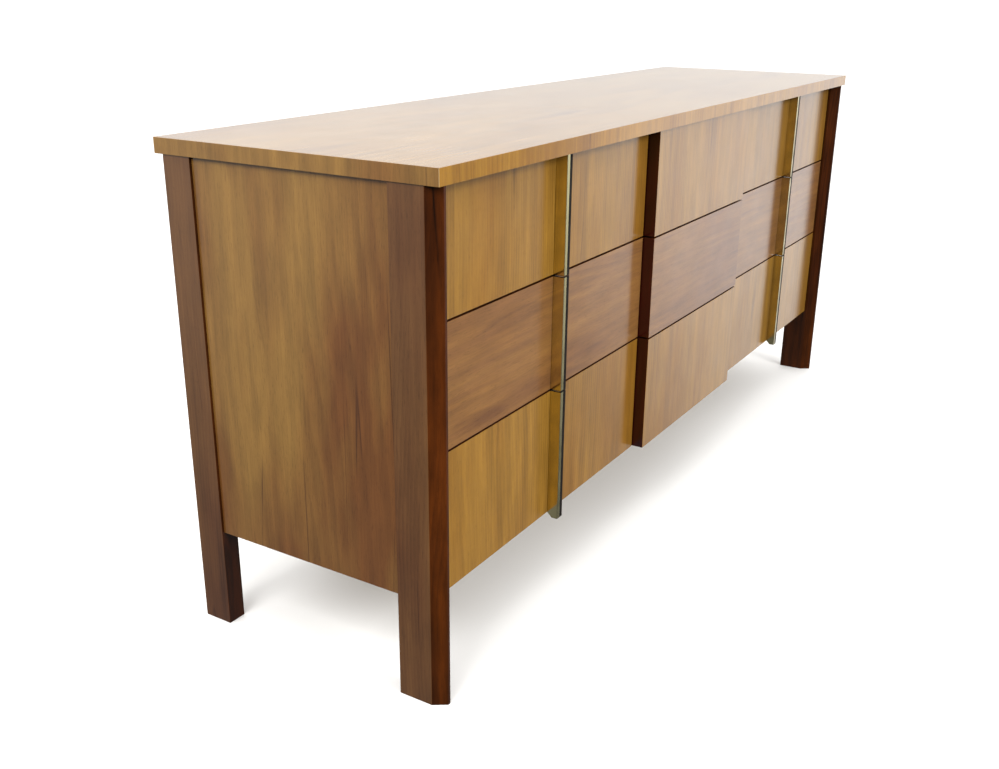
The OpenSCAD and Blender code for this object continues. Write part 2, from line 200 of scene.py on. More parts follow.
def wood(name, along, across, pale, dark, tint, ring=9 * MM, figure=0.35, taper=0.05,
         streak=0.36, vein=0.5, tinted=0.8, flank=0.0, mottle=0.1, fibre=0.1, pore=0.24,
         rough=0.5, coat=1.0, coat_rough=0.14):
    """Sawn or sliced wood. Growth rings, which a cut along the log turns into long arches, lie
    under tone streaks, thin dark veins, patches of a second tint, fine fibres and short pores.

    ring is the width of a growth ring, and taper how fast the log narrows. figure, streak, vein,
    mottle, fibre and pore say how strongly each layer shows, tinted and flank how much of the
    second tint is in the patches and at the sides of the log. coat is the lacquer.
    """
    material, tree, shader = new_material(name)
    spot = grain_frame(tree, along, across)

    def drawn(wide, long, detail, low, high, least, most):
        """Noise stretched along the grain, its features that wide and long, as a factor."""
        scale = (1 / wide, 1 / wide, 1 / long)
        turned = add(tree, "ShaderNodeMapping", spot, None, None, scale)
        noise = add(tree, "ShaderNodeTexNoise", turned, sockets={"Scale": 1.0, "Detail": detail})
        return add(tree, "ShaderNodeMapRange", noise, low, high, least, most)

    # Distance from the middle of a log that sways and tapers
    sway = drawn(450 * MM, 1100 * MM, 2.0, 0.0, 1.0, -60 * MM, 60 * MM)
    parts = add(tree, "ShaderNodeSeparateXYZ", spot).outputs
    side = add(tree, "ShaderNodeMath", parts[0], sway, operation="ADD")
    cone = add(tree, "ShaderNodeMath", parts[2], taper, parts[1], operation="MULTIPLY_ADD")
    log = add(tree, "ShaderNodeCombineXYZ", side, cone)
    radius = add(tree, "ShaderNodeVectorMath", log, operation="LENGTH").outputs["Value"]

    # Growth rings, each darkening slowly to its late edge, clear in some patches only
    wander = drawn(40 * MM, 300 * MM, 3.0, 0.0, 1.0, 0.0, 1.6)
    count = add(tree, "ShaderNodeMath", radius, 1 / ring, wander, operation="MULTIPLY_ADD")
    saw = add(tree, "ShaderNodeMath", count, operation="FRACT")
    late = add(tree, "ShaderNodeValToRGB", saw)
    late.color_ramp.interpolation = "EASE"
    late.color_ramp.elements[0].color = (0, 0, 0, 1)
    late.color_ramp.elements[1].position = 0.82
    late.color_ramp.elements[1].color = (1, 1, 1, 1)
    late.color_ramp.elements.new(1.0).color = (0, 0, 0, 1)
    clear = drawn(80 * MM, 500 * MM, 2.0, 0.35, 0.65, 0.1 * figure, figure)
    line = add(tree, "ShaderNodeMath", late, clear, operation="MULTIPLY")

    # Tone streaks, and thin veins along the grain
    broad = drawn(17 * MM, 420 * MM, 4.0, 0.36, 0.68, 0.0, streak)
    share = add(tree, "ShaderNodeMath", line, broad, operation="ADD")
    edge = drawn(60 * MM, 1300 * MM, 2.0, 0.0, 1.0, -0.5, 0.5)
    edge = add(tree, "ShaderNodeMath", edge, operation="ABSOLUTE")
    edge = add(tree, "ShaderNodeMapRange", edge, 0.0, 0.012, vein, 0.0)
    broken = drawn(90 * MM, 260 * MM, 1.0, 0.5, 0.6, 0.0, 1.0)
    share = add(tree, "ShaderNodeMath", edge, broken, share, operation="MULTIPLY_ADD",
                use_clamp=True)
    tone = add(tree, "ShaderNodeMix", share, sockets={6: pale, 7: dark},
               data_type="RGBA").outputs[2]
    patch = drawn(130 * MM, 480 * MM, 3.0, 0.42, 0.66, 0.0, tinted)
    flanks = add(tree, "ShaderNodeMath", side, operation="ABSOLUTE")
    flanks = add(tree, "ShaderNodeMapRange", flanks, 80 * MM, 190 * MM, 0.0, flank)
    patch = add(tree, "ShaderNodeMath", patch, flanks, operation="ADD", use_clamp=True)
    tone = add(tree, "ShaderNodeMix", patch, sockets={6: tone, 7: tint}, data_type="RGBA",
               blend_type="MULTIPLY").outputs[2]

    # Fibres, drawn 2 mm wide so that they show, and pores 0.8 mm wide and 12 mm long
    hair = drawn(2 * MM, 70 * MM, 2.0, 0.25, 0.75, 1 - fibre, 1 + fibre)
    pores = drawn(0.8 * MM, 12 * MM, 1.0, 0.6, 0.72, 0.0, 1.0)
    depth = add(tree, "ShaderNodeMath", pores, -pore, 1.0, operation="MULTIPLY_ADD")
    cloudy = drawn(22 * MM, 75 * MM, 3.0, 0.3, 0.7, 1 - mottle, 1 + mottle)
    depth = add(tree, "ShaderNodeMath", cloudy, depth, operation="MULTIPLY")
    value = add(tree, "ShaderNodeMath", hair, depth, operation="MULTIPLY")
    tone = add(tree, "ShaderNodeVectorMath", tone, value, operation="MULTIPLY")
    tree.links.new(tone.outputs[0], shader.inputs["Base Color"])

    # The lacquer has pooled a little unevenly, in patches 70 mm wide, and the pores, 0.1 mm
    # deep, show through it
    cloud = add(tree, "ShaderNodeTexNoise", spot, sockets={"Scale": 14.0, "Detail": 3.0})
    gloss = add(tree, "ShaderNodeMapRange", cloud, 0.3, 0.7, rough - 0.06, rough + 0.06)
    tree.links.new(gloss.outputs[0], shader.inputs["Roughness"])
    height = add(tree, "ShaderNodeMath", pores, -1.0, operation="MULTIPLY")
    dent = add(tree, "ShaderNodeBump", sockets={"Strength": 0.1, "Distance": 0.1 * MM,
                                                "Height": height.outputs[0]})
    tree.links.new(dent.outputs[0], shader.inputs["Normal"])
    shader.inputs["IOR"].default_value = 1.5
    shader.inputs["Specular IOR Level"].default_value = 0.15 if coat else 0.5
    shader.inputs["Coat Weight"].default_value = coat
    shader.inputs["Coat Roughness"].default_value = coat_rough
    shader.inputs["Coat IOR"].default_value = 1.5
    return material


def drawn_brass(name, tint, least_rough, most_rough, metallic):
    """Drawn brass bar, lightly aged, with faint lengthwise lines and cloudy dull patches."""
    material, tree, shader = new_material(name)
    spot = grain_frame(tree, Z, X)
    # Draw lines, 0.7 mm apart where the real ones are finer, so that they show, and a haze in
    # patches 33 mm wide
    lines = add(tree, "ShaderNodeMapping", spot, None, None, (1500, 1500, 6))
    lines = add(tree, "ShaderNodeTexNoise", lines, sockets={"Scale": 1.0, "Detail": 2.0})
    haze = add(tree, "ShaderNodeTexNoise", spot, sockets={"Scale": 30.0, "Detail": 4.0})
    age = add(tree, "ShaderNodeMapRange", haze, 0.35, 0.75, 0.0, 0.8)
    tone = add(tree, "ShaderNodeMix", age, sockets={6: tint, 7: darkened(tint, 0.72)},
               data_type="RGBA").outputs[2]
    tree.links.new(tone, shader.inputs["Base Color"])
    rough = add(tree, "ShaderNodeMapRange", haze, 0.3, 0.7, least_rough, most_rough)
    tree.links.new(rough.outputs[0], shader.inputs["Roughness"])
    dent = add(tree, "ShaderNodeBump", sockets={"Strength": 0.06, "Distance": 0.05 * MM,
                                                "Height": lines.outputs[0]})
    tree.links.new(dent.outputs[0], shader.inputs["Normal"])
    shader.inputs["Metallic"].default_value = metallic
    if not metallic:
        shader.inputs["Specular IOR Level"].default_value = 0.1
    return material


def zinc_steel(name, tint):
    """Zinc-plated screw steel, pale grey with dull cloudy patches 1.1 mm wide."""
    material, tree, shader = new_material(name)
    place = add(tree, "ShaderNodeTexCoord").outputs["Object"]
    cloud = add(tree, "ShaderNodeTexNoise", place, sockets={"Scale": 900.0, "Detail": 3.0})
    tone = add(tree, "ShaderNodeMix", cloud, sockets={6: tint, 7: darkened(tint, 0.55)},
               data_type="RGBA").outputs[2]
    tree.links.new(tone, shader.inputs["Base Color"])
    rough = add(tree, "ShaderNodeMapRange", cloud, 0.3, 0.7, 0.25, 0.45)
    tree.links.new(rough.outputs[0], shader.inputs["Roughness"])
    shader.inputs["Metallic"].default_value = 1.0
    return material


def recipes(colours):
    """What makes each material: its maker, what the maker is given, and its settings."""
    tint = colours.walnut_tint[:]
    cross_tint = colours.cross_tint[:]
    end_tint = colours.end_tint[:]

    def shades(kind, tint=WHITE):
        """Colour of a wood, of its dark lines, and of its patches."""
        return getattr(colours, kind)[:], getattr(colours, f"{kind}_line")[:], tint

    bare = dict(coat=0.0, rough=0.6, pore=0.08, vein=0.2)
    return {
        # Sliced veneer sprayed with satin lacquer: straight fine lines in amber, under a sheen
        # that turns pale where it mirrors something bright at a low angle
        "lacquered walnut upright": (
            wood, (Z, X, *shades("walnut", tint)),
            dict(figure=0.36, ring=7 * MM, streak=0.42, coat_rough=0.19)),
        # The same veneer laid across: greyer and redder, with slanting streaks
        "lacquered walnut crossways": (
            wood, (X, Z, *shades("cross", cross_tint)),
            dict(ring=12 * MM, figure=0.3, streak=0.5, coat_rough=0.19)),
        # One wide leaf cut near the middle of a log: a pale heart between darker flanks
        "lacquered walnut end": (
            wood, (Z, Y, *shades("end", end_tint)),
            dict(ring=20 * MM, figure=0.28, taper=0.09, streak=0.26, vein=1.0, tinted=0.9,
                 flank=0.6)),
        # Long leaves that run the length of the top: broad arches under a clear sheen
        "lacquered walnut top": (
            wood, (X, Y, *shades("top", tint)), dict(ring=14 * MM, figure=0.5)),
        # Strips with the grain across the edge: a row of short upright lines, golden in front
        "lacquered walnut lipping front": (
            wood, (Z, X, *shades("lipping", tint)), dict(ring=11 * MM, figure=0.3, streak=0.5)),
        "lacquered walnut lipping end": (
            wood, (Z, Y, *shades("end", end_tint)),
            dict(ring=24 * MM, figure=0.4, coat_rough=0.16)),
        # Painted highlight: the mitres in pale poplar colour under a dull lacquer, thin pale lines
        # in place of a glint on the corners
        "rubbed walnut mitre": (
            wood, (Z, X, *shades("poplar")), dict(ring=8 * MM, coat_rough=0.3)),
        # Solid planks stained a shade darker than the veneer: plain, close and reddish brown
        "stained walnut leg": (
            wood, (Z, Y, *shades("leg", end_tint)),
            dict(ring=6 * MM, figure=0.2, coat_rough=0.16)),
        # Painted shade: walnut near black with red brown streaks, under half the lacquer
        # It stands in for the shade on the legs' forward and inner faces and in the gaps between
        # the fronts
        "dark stained walnut": (
            wood, (Z, Y, *shades("nose", tint)),
            dict(ring=5 * MM, figure=0.3, streak=0.6, mottle=0.3, coat=0.5)),
        # Painted shade: a deep dark red on the side edges, darker than the wood, for the shade on
        # them, outlining the middle bank
        "red stained walnut": (wood, (Z, Y, *shades("stain")), dict(ring=5 * MM)),
        # Planed poplar left bare: cream, matt, almost without figure
        "planed poplar": (wood, (Y, Z, *shades("poplar")), dict(ring=8 * MM, **bare)),
        "planed poplar across": (wood, (X, Z, *shades("poplar")), dict(ring=8 * MM, **bare)),
        # Rotary-cut birch plywood left bare: tan, matt, with wide wandering figure
        "birch plywood": (wood, (Z, X, *shades("ply")), dict(ring=22 * MM, **bare)),
        # Drawn and polished bar: a soft yellow mirror, a little hazy
        "polished brass": (drawn_brass, (colours.brass[:], 0.12, 0.26, 1.0), {}),
        # Painted reflection: the same bar in dull straw with its mirror blurred, on the right lips
        # only, for the paler reflection they show
        "tarnished brass": (drawn_brass, (colours.right_lip_reflection[:], 0.26, 0.4, 1.0), {}),
        # Painted shade: near black brass with no mirror left, which draws a dark line beside the
        # bright one
        # It is painted shade at the ends where two pulls meet and a painted dark reflection on the
        # outer lip
        "blackened brass": (drawn_brass, (colours.brass_shade[:], 0.5, 0.65, 0.0), {}),
        # Zinc plate on pressed screws: small dull grey dots on the back
        "zinc-plated steel": (zinc_steel, (colours.steel[:],), {}),
    }


def finish_of(kind):
    """The material with that name, made when it is first asked for."""
    if kind not in bpy.data.materials:
        maker, given, settings = recipes(bpy.context.scene.chest_colours)[kind]
        maker(kind, *given, **settings)
    return bpy.data.materials[kind]


# ---------------------------------------------------------------- shaping


def deselect():
    bpy.ops.object.select_all(action="DESELECT")


def activate(piece):
    deselect()
    piece.select_set(True)
    bpy.context.view_layer.objects.active = piece


def block(name, low, high):
    """Box between two corners, with its place in its mesh."""
    low, high = Vector(low), Vector(high)
    deselect()
    bpy.ops.mesh.primitive_cube_add(size=1, location=(low + high) / 2, scale=high - low)
    bpy.ops.object.transform_apply(location=True, rotation=True, scale=True)
    piece = bpy.context.object
    name_piece(piece, name)
    return piece


def name_piece(piece, name):
    """Names a piece after the node or part that it shows."""
    piece.name = piece.data.name = f"{name}_piece"


@contextmanager
def editing(piece, chosen=None):
    """Edit mode on the piece, with the faces that chosen(centre, normal) accepts, or all."""
    activate(piece)
    bpy.context.tool_settings.mesh_select_mode = (False, False, True)
    bpy.ops.object.mode_set(mode="EDIT")
    bpy.ops.mesh.select_all(action="SELECT" if chosen is None else "DESELECT")
    if chosen is not None:
        bpy.ops.object.mode_set(mode="OBJECT")
        for face in piece.data.polygons:
            face.select = chosen(face.center, face.normal)
        bpy.ops.object.mode_set(mode="EDIT")
    yield
    bpy.ops.object.mode_set(mode="OBJECT")


def faces_along(axis, sign):
    """Chooses the faces that look along an axis."""
    return lambda centre, normal: normal[axis] * sign > 0.9


def split(piece, place, direction):
    """Cuts new edges across the piece where a plane meets it."""
    with editing(piece):
        bpy.ops.mesh.bisect(plane_co=place, plane_no=direction)


def apply_modifier(piece, kind, **settings):
    activate(piece)
    modifier = piece.modifiers.new(kind.title(), kind)
    for key, value in settings.items():
        setattr(modifier, key, value)
    bpy.ops.object.modifier_apply(modifier=modifier.name)


def ease_edges(piece, radius, segments=2):
    """Rounds every sharp edge and shades the piece smooth across the round, its big faces flat."""
    apply_modifier(piece, "BEVEL", width=radius, segments=segments, limit_method="ANGLE",
                   angle_limit=math.radians(30))
    smooth(piece)


def smooth(piece):
    """Shades a piece smooth across its narrow faces only."""
    activate(piece)
    bpy.ops.object.shade_smooth_by_angle(angle=math.radians(35))
    apply_modifier(piece, "WEIGHTED_NORMAL", weight=100, keep_sharp=True)


def copy_of(piece, name, move):
    """A copy of a piece, with a mesh of its own, moved."""
    activate(piece)
    bpy.ops.object.duplicate()
    copy = bpy.context.object
    bpy.ops.transform.translate(value=move)
    bpy.ops.object.transform_apply(location=True, rotation=False, scale=False)
    name_piece(copy, name)
    return copy


def join(pieces, name):
    """Joins the pieces into the first of them, under a new name."""
    activate(pieces[0])
    for piece in pieces:
        piece.select_set(True)
    bpy.ops.object.join()
    name_piece(pieces[0], name)
    smooth(pieces[0])
    return pieces[0]


def cut_out(piece, low, high):
    """Takes a box out of the piece."""
    cutter = block("cutter", low, high)
    apply_modifier(piece, "BOOLEAN", object=cutter, operation="DIFFERENCE", solver="EXACT")
    bpy.data.meshes.remove(cutter.data)


def dress(piece, body, nodes, finish, in_log=(0.0, 0.0, 0.0)):
    """Puts a piece under its body, hides the nodes that it stands for and gives it its material if
    it has none.

    Its leaf takes its middle to the place in_log, measured from the middle of the log that it was
    cut from, so that no two pieces show the same figure.
    """
    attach(piece, body)
    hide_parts(*nodes)
    if not piece.data.materials:
        piece.data.materials.append(finish_of(finish))
    low, high = Vector(piece.bound_box[0]), Vector(piece.bound_box[6])
    leaf = Vector(in_log) - (low + high) / 2
    places = piece.data.attributes.new("leaf", "FLOAT_VECTOR", "POINT")
    for value in places.data:
        value.vector = leaf


def paint_faces(piece, finish, chosen):
    """Gives the faces that chosen(centre, normal) accepts a material of their own."""
    piece.data.materials.append(finish_of(finish))
    index = len(piece.data.materials) - 1
    for face in piece.data.polygons:
        if chosen(face.center, face.normal):
            face.material_index = index


def size(axis, low, high):
    return high[axis] - low[axis]


# ---------------------------------------------------------------- pieces


class CHEST_OT_top(bpy.types.Operator):
    """Make the veneered top and the mitred lipping round it"""

    bl_idname = "chest.top"
    bl_label = "Top"
    bl_options = {"REGISTER", "UNDO"}

    def execute(self, context):
        sizes = context.scene.chest_sizes
        low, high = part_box("top_panel")
        panel = block("top_panel", low, high)
        with editing(panel):
            bpy.ops.mesh.bevel(offset=sizes.top_seam, segments=1)
        dress(panel, CASE, ["top_panel"], "lacquered walnut top",
              (1.3, 0.05, 0.06))

        low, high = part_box("top_lipping")
        strips = []
        for side in (-1, 1):
            strips.append(self.strip(low, high, X, Y, side, sizes))
            strips.append(self.strip(low, high, Y, X, side, sizes))
        lipping = join(strips, "top_lipping")
        lipping.data.materials.append(finish_of("lacquered walnut lipping front"))
        paint_faces(lipping, "lacquered walnut lipping end",
                    lambda centre, normal: abs(normal.x) > 0.6)
        paint_faces(lipping, "lacquered walnut top", lambda centre, normal: normal.z > 0.8)
        # Painted highlight: the mitred corner faces are coloured pale, for a glint
        paint_faces(lipping, "rubbed walnut mitre", lambda centre, normal: (
            min(abs(normal.x), abs(normal.y)) > 0.2 and abs(normal.z) < 0.5))
        dress(lipping, CASE, ["top_lipping"], None, (0.3, 0.2, 0.4))
        return {"FINISHED"}

    def strip(self, low, high, run, across, side, sizes):
        """One strip along the run axis, its inner face shortened so that its ends are mitred."""
        start, stop = Vector(low), Vector(high)
        outer = high[across] if side > 0 else low[across]
        start[across], stop[across] = sorted((outer, outer - side * sizes.lipping))
        strip = block("strip", start, stop)
        full = size(run, low, high)
        scale = [1.0, 1.0, 1.0]
        scale[run] = (full - 2 * sizes.lipping) / full
        with editing(strip, faces_along(across, -side)):
            bpy.ops.transform.resize(value=scale)
        ease_edges(strip, sizes.top_edge)
        return strip


class CHEST_OT_legs(bpy.types.Operator):
    """Make the four plank legs, the front ones with a tapered nose"""

    bl_idname = "chest.legs"
    bl_label = "Legs"
    bl_options = {"REGISTER", "UNDO"}

    def execute(self, context):
        sizes = context.scene.chest_sizes
        for number, end in enumerate(ENDS):
            apart = 0.2 * number
            self.front_leg(end, (0.03, 0.11 + apart, 0.3), sizes)
            self.rear_leg(end, (0.04, 0.31 + apart, 0.7), sizes)
        return {"FINISHED"}

    def groove(self, leg, end, sizes):
        """Groove for the tongue of the end panel, a little wider and deeper than the tongue."""
        low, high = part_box(f"side_panel_{end}")
        leg_low, leg_high = Vector(leg.bound_box[0]), Vector(leg.bound_box[6])
        middle = (low.x + high.x) / 2
        half = sizes.tongue / 2 + 0.1 * MM
        reach = 0.5 * MM
        start = (middle - half, max(leg_low.y + MM, low.y - reach), low.z)
        stop = (middle + half, min(leg_high.y - MM, high.y + reach), high.z + MM)
        cut_out(leg, start, stop)

    def front_leg(self, end, in_log, sizes):
        name = f"leg_front_{end}"
        low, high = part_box(name)
        leg = block(name, low, high)
        split(leg, (0, low.y + sizes.nose, 0), (0, 1, 0))
        with editing(leg, faces_along(Y, -1)):
            bpy.ops.transform.resize(value=(sizes.nose_flat / size(X, low, high), 1, 1))
        self.groove(leg, end, sizes)
        ease_edges(leg, sizes.leg_edge, 3)
        leg.data.materials.append(finish_of("stained walnut leg"))
        inward = 1 if low.x < 0 else -1
        # Painted shade: the nose and the inner face are coloured near black
        paint_faces(leg, "dark stained walnut", lambda centre, normal: (
            normal.y < -0.3 or normal.x * inward > 0.9))
        dress(leg, CASE, [name], None, in_log)

    def rear_leg(self, end, in_log, sizes):
        name = f"leg_rear_{end}"
        leg = block(name, *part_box(name))
        self.groove(leg, end, sizes)
        ease_edges(leg, sizes.leg_edge, 3)
        leg.data.materials.append(finish_of("stained walnut leg"))
        # Painted shade: the front face is coloured near black
        paint_faces(leg, "dark stained walnut", lambda centre, normal: normal.y < -0.3)
        dress(leg, CASE, [name], None, in_log)


class CHEST_OT_end_panels(bpy.types.Operator):
    """Make the two veneered end panels with the tongues that the legs hold"""

    bl_idname = "chest.end_panels"
    bl_label = "End panels"
    bl_options = {"REGISTER", "UNDO"}

    def execute(self, context):
        sizes = context.scene.chest_sizes
        names = [f"side_panel_{end}" for end in ENDS]
        first = self.panel(names[0], sizes)
        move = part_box(names[1])[0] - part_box(names[0])[0]
        panels = [first, copy_of(first, names[1], move)]
        for number, (name, panel) in enumerate(zip(names, panels)):
            dress(panel, CASE, [name], "lacquered walnut end",
                  (0.05, -0.03 + 0.1 * number, 0.9 * number))
        return {"FINISHED"}

    def panel(self, name, sizes):
        """Panel with a tongue along its front and its rear edge."""
        low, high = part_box(name)
        tongue = sizes.tongue
        panel = block(name, (low.x, low.y + tongue, low.z), (high.x, high.y - tongue, high.z))
        middle = (low.x + high.x) / 2
        for side in (-1, 1):
            split(panel, (middle + side * tongue / 2, 0, 0), (1, 0, 0))
        for side in (-1, 1):
            on_edge = lambda centre, normal: (
                normal.y * side > 0.9 and abs(centre.x - middle) < tongue / 2)
            with editing(panel, on_edge):
                bpy.ops.mesh.extrude_region_move(
                    TRANSFORM_OT_translate={"value": (0, side * tongue, 0)})
        ease_edges(panel, sizes.panel_edge)
        return panel


class CHEST_OT_inside(bpy.types.Operator):
    """Finish the boards inside the case, which keep their shapes, and the boxes of the drawers"""

    bl_idname = "chest.inside"
    bl_label = "Inside of the case"
    bl_options = {"REGISTER", "UNDO"}

    def execute(self, context):
        finishes = {"bottom_panel": "planed poplar across", "top_rails": "planed poplar across",
                    "partition_left": "planed poplar", "partition_right": "planed poplar",
                    "drawer_guides": "planed poplar"}
        finishes.update({f"shelves_{bank}": "planed poplar across" for bank in BANKS})
        for bank in BANKS:
            for row in ROWS:
                finishes[f"{bank}_{row}_sides"] = "planed poplar"
                finishes[f"{bank}_{row}_back"] = "planed poplar across"
        # The bottoms of the drawers keep the plain plywood that the frame gives them
        for name, finish in finishes.items():
            for material_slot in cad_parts[name].material_slots:
                material_slot.material = finish_of(finish)
        return {"FINISHED"}


class CHEST_OT_back(bpy.types.Operator):
    """Make the plywood back panel and the screws that hold it"""

    bl_idname = "chest.back"
    bl_label = "Back"
    bl_options = {"REGISTER", "UNDO"}

    def execute(self, context):
        sizes = context.scene.chest_sizes
        low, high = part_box("back_panel")
        panel = block("back_panel", low, high)
        ease_edges(panel, sizes.panel_edge)
        dress(panel, CASE, ["back_panel"], "birch plywood",
              (0.2, 0.03, 0.1))
        self.screws(sizes)
        return {"FINISHED"}

    def screws(self, sizes):
        """Pan heads with a cross, in one column on each partition."""
        rows = 4
        low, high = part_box("back_screws")
        face_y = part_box("back_panel")[1].y
        radius = sizes.screw_head
        step_x = size(X, low, high) - 2 * radius
        step_z = (size(Z, low, high) - 2 * radius) / (rows - 1)
        first = self.screw((low.x + radius, face_y, low.z + radius), high.y, low.y, sizes)
        made = [first] + [copy_of(first, "screw", (step_x * column, 0, step_z * row))
                          for column in range(2) for row in range(rows) if column or row]
        screws = join(made, "back_screws")
        dress(screws, CASE, ["back_screws"], "zinc-plated steel")

    def screw(self, place, head_y, tip_y, sizes):
        """Screw with its head on the panel at that place and its shank in the wood."""
        x, y, z = place
        radius, height = sizes.screw_head, head_y - y
        deselect()
        bpy.ops.mesh.primitive_cylinder_add(vertices=32, radius=radius, depth=height,
                                            location=(x, y + height / 2, z),
                                            rotation=(-math.pi / 2, 0, 0))
        bpy.ops.object.transform_apply(location=True, rotation=True, scale=True)
        head = bpy.context.object
        with editing(head, faces_along(Y, 1)):
            bpy.ops.mesh.bevel(offset=height * 0.6, segments=4)
        arm, half = radius * 0.55, sizes.cross_slot / 2
        cross_floor, above = y + height * 0.4, y + height * 2
        for wide, tall in ((arm, half), (half, arm)):
            cut_out(head, (x - wide, cross_floor, z - tall), (x + wide, above, z + tall))
        rim = radius * 0.56
        with editing(head, faces_along(Y, -1)):
            bpy.ops.mesh.inset(thickness=rim)
            bpy.ops.mesh.extrude_region_move(
                TRANSFORM_OT_translate={"value": (0, tip_y - y, 0)})
        return head


class CHEST_OT_fronts(bpy.types.Operator):
    """Make the nine drawer fronts"""

    bl_idname = "chest.fronts"
    bl_label = "Drawer fronts"
    bl_options = {"REGISTER", "UNDO"}

    def execute(self, context):
        sizes = context.scene.chest_sizes
        for i, bank in enumerate(BANKS):
            for j, row in enumerate(ROWS):
                self.front(bank, row, i, j, sizes)
        return {"FINISHED"}

    def front(self, bank, row, i, j, sizes):
        name = f"{bank}_{row}_front"
        low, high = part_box(name)
        front = block(name, low, high)
        if bank in OUTER_BANKS:
            pull_low, pull_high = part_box(f"{bank}_{row}_pull")
            gap = 0.1 * MM
            cut_out(front, (pull_low.x - gap, low.y - MM, low.z - MM),
                    (pull_low.x + sizes.pull_metal + gap, low.y + sizes.slot, high.z + MM))
        side_low, side_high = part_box(f"{bank}_{row}_sides")
        groove_z = side_low.z + sizes.ply_rise
        inset = sizes.box_wood - sizes.groove
        play = 0.2 * MM
        cut_out(front, (side_low.x + inset, high.y - sizes.groove, groove_z),
                (side_high.x - inset, high.y + MM, groove_z + sizes.ply + play))
        ease_edges(front, sizes.front_edge)
        crossways = row == "middle"
        grain = "crossways" if crossways else "upright"
        front.data.materials.append(finish_of(f"lacquered walnut {grain}"))
        paint_faces(front, "planed poplar across", faces_along(Y, 1))
        # Painted shade: the top and bottom edges, in the gaps between the fronts, are coloured
        # near black
        paint_faces(front, "dark stained walnut", lambda centre, normal: abs(normal.z) > 0.9)
        # Painted shade: the side edges of the middle fronts are coloured dark red
        if bank == "centre":
            paint_faces(front, "red stained walnut", lambda centre, normal: abs(normal.x) > 0.8)
        in_log = (0.4 + 0.17 * i, 0.05 + 0.03 * j, 0.9 * i + 0.37 * j)
        if crossways:
            in_log = (0.8 * i + 0.3, 0.06, 0.1 + 0.05 * i)
        dress(front, f"drawer_{bank}_{row}", [name], None, in_log)


class CHEST_OT_pulls(bpy.types.Operator):
    """Make the six brass angle pulls"""

    bl_idname = "chest.pulls"
    bl_label = "Pulls"
    bl_options = {"REGISTER", "UNDO"}

    def execute(self, context):
        sizes = context.scene.chest_sizes
        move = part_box("right_top_pull")[0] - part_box("left_top_pull")[0]
        lefts = [self.angle(f"left_{row}_pull", row, sizes) for row in ROWS]
        rights = [copy_of(pull, f"right_{row}_pull", move) for row, pull in zip(ROWS, lefts)]
        for i, (bank, pulls) in enumerate(zip(OUTER_BANKS, (lefts, rights))):
            for j, (row, pull) in enumerate(zip(ROWS, pulls)):
                self.paint_brass_shade_and_reflection(pull, bank, row, sizes)
                dress(pull, f"drawer_{bank}_{row}", [f"{bank}_{row}_pull"], None,
                      (0.4 * i, 0.3 * j, 0.7 * i + 0.2 * j))
        return {"FINISHED"}

    def ends(self, name, row, sizes):
        """Box of a pull that runs a little past its front wherever it meets the next pull."""
        low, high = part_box(name)
        if row != "top":
            high.z += sizes.pull_reach
        if row != "bottom":
            low.z -= sizes.pull_reach
        return low, high

    def unshaded_span(self, low, high, row, sizes):
        """Heights between which a pull isn't painted near black as shade."""
        return (low.z + (sizes.shaded_end if row != "bottom" else 0.0),
                high.z - (sizes.shaded_end if row != "top" else 0.0))

    def angle(self, name, row, sizes):
        """Plate that stands out of the front, and the lip turned along its outer edge."""
        low, high = self.ends(name, row, sizes)
        metal = sizes.pull_metal
        pull = block(name, low, (low.x + metal, high.y, high.z))
        if row == "bottom":
            face_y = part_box(f"left_{row}_front")[0].y
            foot = low.z + sizes.tail
            with editing(pull):
                bpy.ops.mesh.bisect(plane_co=(0, face_y, foot), plane_no=(0, 1, -1),
                                    clear_outer=True, use_fill=True)
        split(pull, (0, low.y + metal, 0), (0, 1, 0))
        lip = lambda centre, normal: normal.x > 0.9 and centre.y < low.y + metal
        with editing(pull, lip):
            bpy.ops.mesh.extrude_region_move(
                TRANSFORM_OT_translate={"value": (high.x - low.x - metal, 0, 0)})
        # Cuts where the near black painted shade and painted dark reflection begin
        split(pull, (high.x - sizes.dark_lip, 0, 0), (1, 0, 0))
        for z in self.unshaded_span(low, high, row, sizes):
            split(pull, (0, 0, z), (0, 0, 1))
        ease_edges(pull, sizes.pull_edge)
        return pull

    def paint_brass_shade_and_reflection(self, pull, bank, row, sizes):
        """Polished plate, near black painted shade on the ends and a painted dark reflection on
        the outer lip, and a duller brass on the lips in the right bank as painted reflection.
        """
        low, high = self.ends(f"{bank}_{row}_pull", row, sizes)
        unshaded_low, unshaded_high = self.unshaded_span(low, high, row, sizes)
        pull.data.materials.append(finish_of("polished brass"))
        # Painted reflection: the lips of the right pulls get the duller brass
        if bank == "right":
            paint_faces(pull, "tarnished brass",
                        lambda centre, normal: centre.x > low.x + sizes.pull_metal)
        # Painted shade at the ends and a painted dark reflection on the outer lip, both near black
        paint_faces(pull, "blackened brass", lambda centre, normal: (
            centre.x > high.x - sizes.dark_lip or abs(normal.z) > 0.9
            or not unshaded_low <= centre.z <= unshaded_high))


# ---------------------------------------------------------------- stage


